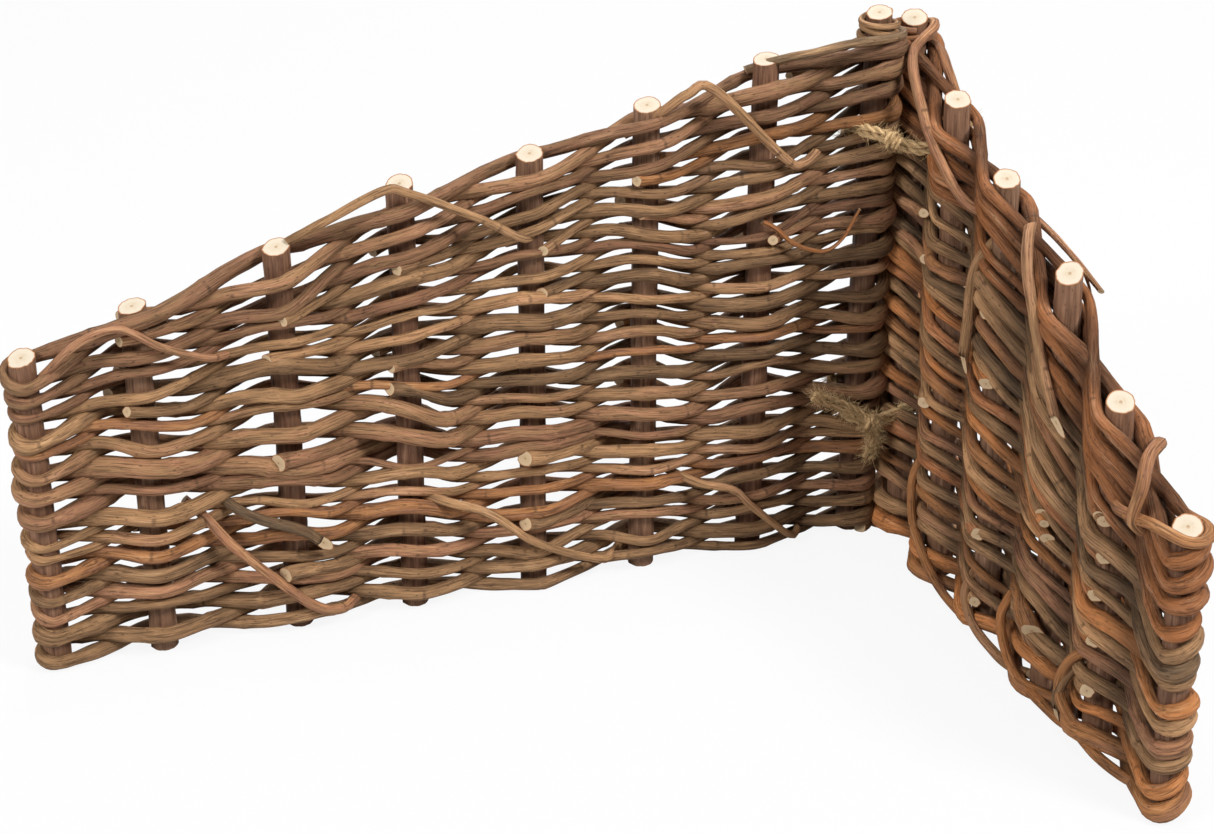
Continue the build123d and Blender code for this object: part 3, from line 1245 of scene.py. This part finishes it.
    def _stake_rod(self, s: float, top: float) -> Rod:
        """A stake as one thick rod, level at the foot."""
        count = round(top / 5.0)
        phase = self.random.uniform(0, 50)
        points = []
        radii = []
        tip = top - STAKE_RADIUS * 0.2
        for step in range(count + 1):
            z = tip * step / count
            sway = 0.35 * noise.noise(Vector((z / 60.0, phase, 0.0)))
            points.append(self.place(s + sway, sway * 0.6, z))
            radii.append((STAKE_RADIUS + 0.1) * (1.0 - 0.05 * step / count))
        slope = (self.tops[0] - self.tops[-1]) / self.stakes[-1] * 0.7
        upward = Vector((0, 0, 1)) + self.along * slope + self.inward * self.random.uniform(0.15, 0.4)
        return Rod(
            points,
            radii,
            tint=self.random.uniform(0.1, 0.9),
            shade=self.random.uniform(0.85, 1.15),
            start=End.TIP,
            finish=End.BUTT,
            facing=upward * 30.0,
            sides=28,
            lumps=0.05,
        )


@dataclass
class LooseRods:
    """Rod ends that are tucked over the face of a panel.

    Attributes:
        hurdle: The panel that they lie on.
        routes: For each rod, its points as distance, depth and height.
        radii: For each rod, the radius at its two ends, its tint and how light it is.
        nodes: Rods that are CAD nodes too.
        split: Rods with a split end.
    """

    hurdle: Hurdle
    routes: dict[str, tuple[Point, ...]]
    radii: dict[str, tuple[float, float, float, float]]
    nodes: tuple[str, ...]
    split: tuple[str, ...] = ()

    def build(self, palette: Palette) -> list[bpy.types.Object]:
        """Make every loose rod.

        Args:
            palette: The finishes.

        Returns:
            The new pieces.
        """
        pieces = []
        for node, route in self.routes.items():
            stops = [self.hurdle.place(*stop) for stop in route]
            points = curve_through(stops, 3.0)
            first, last, tint, shade = self.radii[node]
            radii = [first + (last - first) * i / (len(points) - 1) for i in range(len(points))]
            mesh = RodMesh(f"{node}_bark")
            finish = End.SPLIT if node in self.split else End.FACING
            facing = self.hurdle.inward + Vector((0, 0, 0.3))
            mesh.add(Rod(points, radii, tint, shade, End.FACING, finish, facing))
            pieces.append(mesh.fit(palette.rod, self.hurdle.name, node if node in self.nodes else ""))
        return pieces


@dataclass
class CornerCoil:
    """The last thin rod of a panel, wound round the top of its corner stake.

    Attributes:
        hurdle: The panel.
        turns: How many times it goes round.
        drop: How far below the top of the stake it ends.
        radius: Its radius.
        tint: Where its bark lies between grey-brown, 0, and tan, 1.
        shade: How light its bark is.
    """

    hurdle: Hurdle
    turns: float
    drop: float
    radius: float
    tint: float
    shade: float

    TURN_STEPS: ClassVar[int] = 26
    RISE: ClassVar[float] = 1.9
    APPROACH_STEPS: ClassVar[int] = 4
    APPROACH_FROM: ClassVar[float] = 46.0
    APPROACH_STRIDE: ClassVar[float] = 11.0

    def build(self, palette: Palette) -> bpy.types.Object:
        """Make the coil, which comes up from behind the panel.

        Args:
            palette: The finishes.

        Returns:
            The new piece.
        """
        hurdle = self.hurdle
        reach = STAKE_RADIUS + self.radius * 0.9
        high = hurdle.tops[0] - self.drop
        low = high - self.turns * self.RISE * self.radius
        points = []
        for step in range(self.APPROACH_STEPS):
            s = self.APPROACH_FROM - self.APPROACH_STRIDE * step
            points.append(hurdle.place(s, -reach, min(low - 1.0, hurdle.top(s) - 10.0 + 2.0 * step)))
        count = round(self.turns * self.TURN_STEPS)
        for step in range(count + 1):
            share = step / count
            angle = math.pi * 1.5 - math.tau * self.turns * share
            loose = reach * (1.0 + 0.07 * math.sin(angle * 0.73 + self.turns))
            tilt = 1.1 * math.sin(angle * 0.31 + self.turns)
            z = low + (high - low) * share + tilt * math.cos(angle)
            points.append(hurdle.place(loose * math.cos(angle), loose * math.sin(angle), z))
        points = curve_through(points, 2.2)
        radii = [self.radius * (1.0 - 0.3 * i / len(points)) for i in range(len(points))]
        mesh = RodMesh(f"{hurdle.name}_top_coil")
        mesh.add(Rod(points, radii, self.tint, self.shade, End.FACING, End.TIP))
        return mesh.fit(palette.rod, hurdle.name)


@dataclass
class Lashing:
    """A jute tie: two plies twisted along its route, with a knot and loose fibres.

    Attributes:
        node: The CAD node that it replaces.
        route: Points of the strand in millimetres, from knot to knot.
        knot: Centre of the knot.
        ends: Routes of the loose ends.
        seed: Seed of its fibres.
    """

    node: str
    route: tuple[Point, ...]
    knot: Point
    ends: tuple[tuple[Point, ...], ...]
    seed: int

    PLY_RADIUS: ClassVar[float] = 1.1
    TWIST: ClassVar[float] = 12.0
    SPREAD: ClassVar[float] = 1.7
    KNOT_RADIUS: ClassVar[float] = 3.7
    KNOT_STEPS: ClassVar[int] = 60
    KNOT_TURN: ClassVar[int] = 22
    KNOT_LENGTH: ClassVar[float] = 8.0
    HAIRS: ClassVar[int] = 1000
    HAIR_RADII: ClassVar[tuple[float, ...]] = (0.17, 0.16, 0.14, 0.12, 0.09, 0.05)
    BLEND_FROM: ClassVar[Point] = (0.0, 0.0, 0.0)
    BLEND_TO: ClassVar[Point] = (0.027, -0.012, 0.0)

    def __post_init__(self) -> None:
        """Seed the fibres."""
        self.random = random.Random(self.seed)

    def _spline(self, stops: Sequence[Vector]) -> list[Vector]:
        """Points along a smooth spline that the route's points control."""
        data = bpy.data.curves.new("route", "CURVE")
        data.dimensions = "3D"
        line = data.splines.new("NURBS")
        line.points.add(len(stops) - 1)
        for point, stop in zip(line.points, stops):
            point.co = (*stop, 1.0)
        line.order_u = 3
        line.use_endpoint_u = True
        line.resolution_u = 10
        holder = bpy.data.objects.new("route", data)
        mesh = bpy.data.meshes.new_from_object(holder)
        points = [vertex.co.copy() for vertex in mesh.vertices]
        bpy.data.objects.remove(holder)
        bpy.data.curves.remove(data)
        bpy.data.meshes.remove(mesh)
        return points

    def _double(self, mesh: RodMesh, path: Sequence[Vector], thickness: float, tint: float) -> None:
        """Lay two strands side by side along a path, one above the other."""
        runs = mesh.tangents(path)
        for lane in (-1, 1):
            moved = []
            for number, (point, run) in enumerate(zip(path, runs)):
                above = Vector((0, 0, 1)) - run * run.z
                above = above.normalized() if above.length > 0.2 else run.orthogonal().normalized()
                reach = self.SPREAD * (1.0 + 0.25 * math.sin(number * 0.11 + lane))
                moved.append(point + above * reach * lane)
            self._strand(mesh, moved, thickness, tint + 0.08 * lane)

    def _strand(self, mesh: RodMesh, path: Sequence[Vector], thickness: float, tint: float) -> None:
        """Twist two plies along a path."""
        runs = mesh.tangents(path)
        normal = runs[0].orthogonal().normalized()
        length = 0.0
        plies: list[list[Vector]] = [[], []]
        for number, (point, run) in enumerate(zip(path, runs)):
            if number:
                normal = (normal - run * normal.dot(run)).normalized()
                length += (point - path[number - 1]).length
            side = run.cross(normal)
            for ply in range(2):
                angle = math.tau * length / self.TWIST + math.pi * ply
                offset = (normal * math.cos(angle) + side * math.sin(angle)) * self.PLY_RADIUS * thickness
                plies[ply].append(point + offset)
        for ply in plies:
            radii = [self.PLY_RADIUS * thickness * 1.08] * len(ply)
            rod = Rod(ply, radii, tint, 1.0, End.TIP, End.TIP, sides=10, lumps=0.12)
            mesh.add(rod)

    def _hairs(self, mesh: RodMesh, path: Sequence[Vector], count: int, reach: float) -> None:
        """Scatter thin loose fibres along a path."""
        rng = self.random
        runs = mesh.tangents(path)
        for _ in range(count):
            number = rng.randrange(1, len(path) - 1)
            run = runs[number]
            away = run.orthogonal().normalized()
            away.rotate(Matrix.Rotation(rng.uniform(0, math.tau), 3, run))
            start = path[number] + away * self.PLY_RADIUS * rng.uniform(0.7, 2.9)
            heading = run * rng.choice((-1, 1)) * rng.uniform(0.4, 1.4)
            heading = (heading + away * rng.uniform(0.2, 1.0)).normalized()
            length = reach * rng.uniform(0.3, 1.0)
            bend = Vector((rng.uniform(-1, 1), rng.uniform(-1, 1), rng.uniform(-1, 1))) * 0.5
            points = [start]
            for _ in self.HAIR_RADII[1:]:
                heading = (heading + bend * 0.45).normalized()
                points.append(points[-1] + heading * (length / (len(self.HAIR_RADII) - 1)))
            radii = list(self.HAIR_RADII)
            mesh.add(Rod(points, radii, rng.uniform(0.3, 1.0), 1.0, End.TIP, End.TIP, sides=3, lumps=0.0))

    def _knot(self, centre: Vector) -> list[Vector]:
        """Path of the turns that are wound round the knot."""
        along = (Vector(self.route[-1]) - Vector(self.route[0])).normalized()
        across = along.orthogonal().normalized()
        side = along.cross(across)
        coil = []
        for step in range(self.KNOT_STEPS + 1):
            angle = math.tau * step / self.KNOT_TURN
            radius = self.KNOT_RADIUS * (0.8 + 0.2 * math.sin(angle * 0.37))
            slide = (step / self.KNOT_STEPS - 0.5) * self.KNOT_LENGTH
            coil.append(centre + along * slide + (across * math.cos(angle) + side * math.sin(angle)) * radius)
        return coil

    def build(self, palette: Palette) -> bpy.types.Object:
        """Make the lashing.

        Args:
            palette: The finishes.

        Returns:
            The new piece.
        """
        mesh = RodMesh(f"{self.node}_twine")
        centre = Vector(self.knot)
        stops = [centre] + [Vector(stop) for stop in self.route] + [centre]
        path = curve_through(self._spline(stops), 0.9)
        self._double(mesh, path, 0.9, 0.55)
        self._hairs(mesh, path, self.HAIRS, 8.5)
        coil = self._knot(centre)
        self._strand(mesh, coil, 0.8, 0.7)
        self._hairs(mesh, coil, self.HAIRS // 3, 6.0)
        for end in self.ends:
            tail = curve_through([Vector(stop) for stop in end], 1.0)
            self._double(mesh, tail, 0.72, 0.6)
            self._hairs(mesh, tail, self.HAIRS // 2, 9.0)
        piece = mesh.build(palette.twine)
        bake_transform(piece)
        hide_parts(self.node)
        return piece


@dataclass(frozen=True)
class Studio:
    """Floor, light and camera.

    Attributes:
        eye: Where the camera stands, in millimetres.
        yaw_deg: How far it looks to the right of +Y.
        pitch_deg: How far it looks down.
        roll_deg: How far it is turned about its view.
        focal_px: Its focal length in pixels of the photograph.
        palette: The finishes.
    """

    eye: Point
    yaw_deg: float
    pitch_deg: float
    roll_deg: float
    focal_px: float
    palette: Palette

    SENSOR_MM: ClassVar[float] = 36.0
    FLOOR_HALF: ClassVar[float] = 12.0
    DAYLIGHT: ClassVar[float] = 0.12
    AIM: ClassVar[Point] = (-0.15, -0.1, 0.12)
    LAMPS: ClassVar[tuple[tuple[str, Point, float, float], ...]] = (
        ("key", (1.10, -1.5, 2.2), 0.7, 72.0),
        ("left", (-1.9, -0.8, 1.5), 0.7, 34.0),
        ("top", (-0.1, 0.1, 2.3), 1.0, 20.0),
        ("back", (0.6, 1.6, 1.4), 1.2, 20.0),
    )

    def camera(self) -> bpy.types.Object:
        """Make the camera at the photograph's viewing angle."""
        yaw, pitch, roll = (math.radians(value) for value in (self.yaw_deg, self.pitch_deg, self.roll_deg))
        ahead = Vector((math.sin(yaw) * math.cos(pitch), math.cos(yaw) * math.cos(pitch), -math.sin(pitch)))
        level = Vector((math.cos(yaw), -math.sin(yaw), 0.0))
        above = level.cross(ahead)
        right = level * math.cos(roll) + above * math.sin(roll)
        up = above * math.cos(roll) - level * math.sin(roll)
        data = bpy.data.cameras.new("view")
        data.sensor_width = self.SENSOR_MM
        data.lens = self.SENSOR_MM * self.focal_px / PHOTO_WIDTH
        view = bpy.data.objects.new("view", data)
        turn = Matrix((right, up, -ahead)).transposed().to_4x4()
        view.matrix_world = Matrix.Translation(Vector(self.eye) * MM) @ turn
        bpy.context.scene.collection.objects.link(view)
        bpy.context.scene.camera = view
        return view

    def lamp(self, name: str, place: Point, size: float, power: float) -> None:
        """Hang one soft lamp that points at the screen.

        Args:
            name: The lamp's name.
            place: Where it hangs, in metres.
            size: Width of its face in metres.
            power: Its power in watts.
        """
        data = bpy.data.lights.new(name, "AREA")
        data.size = size
        data.energy = power
        lamp = bpy.data.objects.new(name, data)
        lamp.location = place
        lamp.rotation_euler = (Vector(self.AIM) - Vector(place)).to_track_quat("-Z", "Y").to_euler()
        bpy.context.scene.collection.objects.link(lamp)

    def floor(self) -> None:
        """Lay the pale floor."""
        mesh = bpy.data.meshes.new("floor")
        half = self.FLOOR_HALF
        corners = [(-half, -half, 0.0), (half, -half, 0.0), (half, half, 0.0), (-half, half, 0.0)]
        mesh.from_pydata(corners, [], [(0, 1, 2, 3)])
        mesh.materials.append(self.palette.floor)
        piece = bpy.data.objects.new("floor", mesh)
        bpy.context.scene.collection.objects.link(piece)

    def world(self) -> None:
        """Light from all round, with a white background."""
        world = bpy.data.worlds.new("daylight")
        bench = ShaderBench(world)
        white = (1.0, 1.0, 1.0)
        soft = bench.node("ShaderNodeBackground", {}, {"Color": white, "Strength": self.DAYLIGHT})
        plain = bench.node("ShaderNodeBackground", {}, {"Color": white, "Strength": 1.0})
        seen = bench.out(bench.node("ShaderNodeLightPath"), "Is Camera Ray")
        mixed = bench.node("ShaderNodeMixShader", {}, {0: seen, 1: bench.out(soft), 2: bench.out(plain)})
        bench.node("ShaderNodeOutputWorld", {}, {"Surface": bench.out(mixed)})
        bpy.context.scene.world = world

    def build(self) -> None:
        """Set up the whole studio."""
        self.camera()
        self.floor()
        self.world()
        for lamp in self.LAMPS:
            self.lamp(*lamp)
        bpy.context.scene.view_settings.view_transform = "Standard"


# Depth of a loose rod that lies on the face of a panel, and of an end that is tucked into it.
ON_FACE = 15.05
IN_FACE = -1.5

# Stops of each loose rod, as distance from the corner, depth and height. Next to them, for each
# rod, the radius at its first and last stop, its tint and how light it is.
LEFT_ROUTES = {
    "left_tucked_rod_1": (
        (454, IN_FACE, 162), (440, 11, 181), (428, ON_FACE, 191), (410, ON_FACE, 194),
        (392, ON_FACE, 182), (368, 13, 171), (352, IN_FACE, 166),
    ),
    "left_tucked_rod_2": (
        (322, IN_FACE, 222), (304, 11, 236), (275, ON_FACE, 250), (262, ON_FACE, 247),
        (226, ON_FACE, 229), (204, 13, 215), (195, 5, 211), (188, -6, 209),
    ),
    "left_tucked_rod_3": (
        (140, -8, 256), (131, 1, 264), (123, 11, 275), (113, ON_FACE, 283), (99, ON_FACE, 284),
        (58, ON_FACE, 242), (46, 12, 236), (30, IN_FACE, 238),
    ),
    "left_tucked_rod_4": (
        (268, -6, 71), (258, 4, 69), (246, 13, 66), (224, ON_FACE, 56), (196, ON_FACE, 32),
        (160, 13, 14), (148, 3, 11), (140, -7, 11),
    ),
    "left_tucked_rod_5": (
        (384, -7, 82), (376, 3, 76), (368, 12, 67), (358, ON_FACE, 55), (324, ON_FACE, 18),
        (308, 13, 11), (299, 4, 10), (291, -6, 10),
    ),
    "left_tucked_rod_6": (
        (116, -6, 56), (108, 5, 54), (98, 13, 51), (80, ON_FACE, 45), (68, ON_FACE, 32), (43, 13, 8),
        (34, 4, 7),
    ),
    "left_curled_tip": (
        (66, 8, 204), (60, 13, 201), (49, 15, 191), (32, 15, 185), (21, 15, 191), (11, 13.5, 206),
    ),
    "left_top_rod": (
        (72, -8, 284), (63, 1, 290), (53, 10, 295), (44, 13.5, 297), (34, ON_FACE, 299),
        (23, ON_FACE, 300.5),
        (10, ON_FACE, 301), (0, 14, 301), (-9, 10, 300.5), (-13, 2, 300), (-12, -5, 299),
    ),
    "left_split_end": (
        (368, -6, 84), (358, 8, 79), (347, 14, 74), (333, 15, 68), (324, 16, 63), (316, 17, 56),
    ),
}
LEFT_RADII = {
    "left_tucked_rod_1": (2.2, 1.9, 0.5, 1.15),
    "left_tucked_rod_2": (2.4, 2.3, 0.35, 1.1),
    "left_tucked_rod_3": (2.7, 2.4, 0.4, 1.2),
    "left_tucked_rod_4": (2.7, 2.3, 0.35, 1.2),
    "left_tucked_rod_5": (2.5, 2.9, 0.55, 1.15),
    "left_tucked_rod_6": (2.4, 2.1, 0.4, 1.2),
    "left_curled_tip": (1.5, 0.8, 0.8, 0.9),
    "left_top_rod": (2.5, 2.3, 0.05, 1.25),
    "left_split_end": (2.8, 3.1, 0.1, 0.8),
}
RIGHT_ROUTES = {
    "right_tucked_rod_1": (
        (-5, -10.5, 297), (3, -10.5, 299), (10, -6, 298), (13, 1, 295), (17, 8, 291), (25, 13, 287),
        (33, ON_FACE, 279),
        (42, ON_FACE, 267), (52, ON_FACE, 256), (72, 14, 241), (88, 11, 232), (98, IN_FACE, 226),
    ),
    "right_tucked_rod_2": (
        (147, 7, 242), (154, 12, 237), (160, ON_FACE, 226), (165, ON_FACE, 213), (181, ON_FACE, 182),
        (196, ON_FACE, 161),
    ),
    "right_free_tail": ((96, -9, 236), (114, -13, 232), (134, -16, 227), (154, -18, 221), (172, -20, 214)),
    "right_free_tail_split": ((156, -18.5, 220), (163, -18.5, 213), (168, -18, 206)),
    "right_hanging_end": (
        (112, -6, 226), (108, 4, 219), (104, 12, 206), (104, ON_FACE, 192), (103, 15.5, 174),
        (101, 16, 152),
    ),
    "right_corner_end_1": ((-5, 8, 203), (8, 9.5, 205), (22, 9.5, 206.5), (34, 10.5, 208), (43, 12.5, 210)),
    "right_corner_end_2": ((-9, 7, 185), (6, 9, 186), (24, 9.5, 187), (38, 11.5, 187), (48, 13, 186)),
    "right_top_loop": (
        (238, -5, 140), (250, -10, 143), (264, -10.5, 146), (280, -10.5, 148.5), (291, -10.5, 150),
        (299, -6.5, 150),
        (301.5, 0, 149.5), (299, 6.5, 150), (291, 10.5, 151), (280, 11.5, 149.5), (268, 13, 147),
        (254, 13, 144),
        (244, 8, 142), (236, -2, 141),
    ),
    "right_fold_rod": (
        (230, -8, 158), (241, -10, 166), (251, -8, 173), (260, -1, 177), (267, 7, 177.5),
        (272.5, 12.5, 174.5),
        (275, ON_FACE, 167), (272.5, 16, 157), (268.5, 15, 147), (265, 8, 139), (262, -2, 133),
    ),
    "right_low_rod_1": (
        (38, 4, 66), (44, 14, 55), (49, 15.5, 32), (63, 15, 17), (80, 13.5, 6.5), (104, 12, 4),
        (116, 5, 4),
    ),
    "right_low_rod_2": (
        (104, 4, 30), (111, 14, 22), (119, 15, 11), (134, 13.5, 4.5), (158, 12, 4), (170, 5, 4),
    ),
    "right_low_rod_3": (
        (146, 4, 40), (152, 14.5, 31), (158, 15.5, 17), (170, 14.5, 6), (188, 13, 4), (214, 12, 4.5),
        (226, 5, 5),
    ),
    "right_low_rod_4": (
        (226, 5, 52), (221, 14, 44), (216, 16, 26), (228, 15, 14), (243, 12, 7), (257, 9, 5),
        (270, 5, 5), (280, -3, 6),
    ),
    "right_low_stub": ((222, 6, 44), (219, 13, 36), (216, 16, 24), (214, 16, 12)),
}
RIGHT_RADII = {
    "right_tucked_rod_1": (2.8, 2.6, 0.55, 1.1),
    "right_tucked_rod_2": (3.0, 2.6, 0.45, 1.1),
    "right_free_tail": (2.0, 1.4, 0.5, 1.15),
    "right_free_tail_split": (1.0, 0.5, 0.5, 1.0),
    "right_hanging_end": (2.4, 3.0, 0.4, 1.0),
    "right_corner_end_1": (2.4, 2.6, 0.45, 1.25),
    "right_corner_end_2": (2.5, 2.9, 0.5, 1.3),
    "right_top_loop": (3.0, 2.8, 0.65, 1.05),
    "right_fold_rod": (3.2, 3.0, 0.6, 1.1),
    "right_low_rod_1": (2.4, 2.7, 0.7, 1.0),
    "right_low_rod_2": (2.5, 2.8, 0.45, 1.0),
    "right_low_rod_3": (2.5, 2.8, 0.75, 1.05),
    "right_low_rod_4": (2.6, 2.9, 0.7, 1.0),
    "right_low_stub": (2.7, 2.8, 0.25, 0.9),
}
LEFT_NODES = tuple(name for name in LEFT_ROUTES if name not in ("left_split_end", "left_top_rod"))
LEFT_SPLIT = ("left_split_end",)
RIGHT_NODES = ("right_tucked_rod_1", "right_tucked_rod_2")
RIGHT_SPLIT = ("right_tucked_rod_2", "right_hanging_end", "right_low_stub")

# Bare wood above and below the weave at each stake, and cut ends as distance and height.
LEFT_BARE = (15.0, 9.0, 5.0, 3.5, 8.5, 3.5, 3.0, 3.5)
LEFT_FEET = (0.8, 1.0, 2.0, 1.0, 1.0, 4.5, 2.5, 0.8)
LEFT_SHORTS = (
    (421, 182), (403, 144), (329, 154), (333, 191), (272, 205), (275, 144),
    (270, 120), (196, 202), (195, 173), (140, 219), (134, 248), (80, 190),
)
LEFT_JOINS = ((198, 90), (330, 105), (190, 45), (335, 30))
RIGHT_BARE = (6.0, 10.0, 3.0, 11.0, 6.0, 4.0)
RIGHT_FEET = (0.8, 0.8, 0.8, 0.8, 0.8, 0.8)
RIGHT_SHORTS = (
    (250, 112), (245, 58), (240, 134), (246, 25), (226, 90), (205, 150), (188, 82),
    (176, 20), (166, 111), (140, 50), (120, 180), (97, 19), (94, 151), (60, 100),
)
RIGHT_JOINS = ((176, 97), (176, 40))

UPPER_KNOT = (0.5, -25.5, 248.5)
UPPER_ROUTE = (
    (-11, -15.3, 252), (-11, -5, 249.5), (-11, 5, 241), (-11, 15.2, 238.5), (-4.5, 15.8, 239),
    (23, 23.2, 243), (31, 23.4, 244.5), (38.6, 19.2, 246), (43.2, 10.1, 248), (43, -20, 254),
    (42.6, -34.7, 257.5), (32, -34.7, 255), (22, -34.7, 246.5), (11.8, -34.7, 244),
)
LOWER_KNOT = (0.5, -19.5, 78)
LOWER_ROUTE = (
    (-11, -15.3, 80), (-11, -5, 82.5), (-11, 5, 90.5), (-11, 15.2, 93), (2, 16.2, 92),
    (25, 11.4, 91.5), (35.2, 8.7, 91), (42.2, 0.4, 90.5), (42.8, -16.7, 90), (32, -16.7, 87),
    (22, -16.7, 79.5), (11.8, -16.7, 76.5),
)
LOWER_ENDS = (
    ((-3, -18.5, 80), (-18, -16.5, 90), (-34, -16, 98)),
    ((0, -20.5, 76), (3, -20.5, 66), (1, -18.5, 54)),
)


def main() -> None:
    """Dress the frame, piece by piece."""
    logging.basicConfig(level=logging.INFO, format="%(name)s: %(message)s")
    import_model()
    palette = Palette.mixed()
    Studio(
        eye=(-517.1, -1041.0, 662.5),
        yaw_deg=19.38,
        pitch_deg=27.17,
        roll_deg=0.34,
        focal_px=2250.6,
        palette=palette,
    ).build()
    left = Hurdle(
        name="left",
        along=Vector((-1, 0, 0)),
        inward=Vector((0, -1, 0)),
        lean_deg=0.0,
        bare_tops=LEFT_BARE,
        bare_feet=LEFT_FEET,
        foot_slack=1.0,
        long_courses=30,
        short_ends=LEFT_SHORTS,
        joins_shown=LEFT_JOINS,
        warm=0.2,
        seed=11,
        groups=8,
        fullness=1.2,
        # Painted shade deep in the weave and near the corner.
        painted_depth_shade=0.15,
        painted_corner_shade=0.27,
    )
    right = Hurdle(
        name="right",
        along=Vector((0, -1, 0)),
        inward=Vector((-1, 0, 0)),
        lean_deg=4.5,
        bare_tops=RIGHT_BARE,
        bare_feet=RIGHT_FEET,
        foot_slack=3.0,
        long_courses=26,
        short_ends=RIGHT_SHORTS,
        joins_shown=RIGHT_JOINS,
        warm=0.9,
        seed=23,
        groups=6,
        fullness=1.3,
        # Painted shade deep in the weave, and painted light near the corner.
        painted_depth_shade=0.6,
        painted_corner_shade=-0.12,
    )
    for hurdle in (left, right):
        hurdle.stake_pieces(palette)
        hurdle.weave(palette)
    LooseRods(left, LEFT_ROUTES, LEFT_RADII, LEFT_NODES, LEFT_SPLIT).build(palette)
    LooseRods(right, RIGHT_ROUTES, RIGHT_RADII, RIGHT_NODES, RIGHT_SPLIT).build(palette)
    CornerCoil(left, turns=3.2, drop=3.5, radius=2.3, tint=0.35, shade=1.1).build(palette)
    CornerCoil(right, turns=1.7, drop=6.0, radius=2.7, tint=0.6, shade=1.0).build(palette)
    for tie in (
        Lashing("upper_tie", UPPER_ROUTE, UPPER_KNOT, (), 5),
        Lashing("lower_tie", LOWER_ROUTE, LOWER_KNOT, LOWER_ENDS, 6),
    ):
        tie.build(palette)


if __name__ == "__main__":
    main()
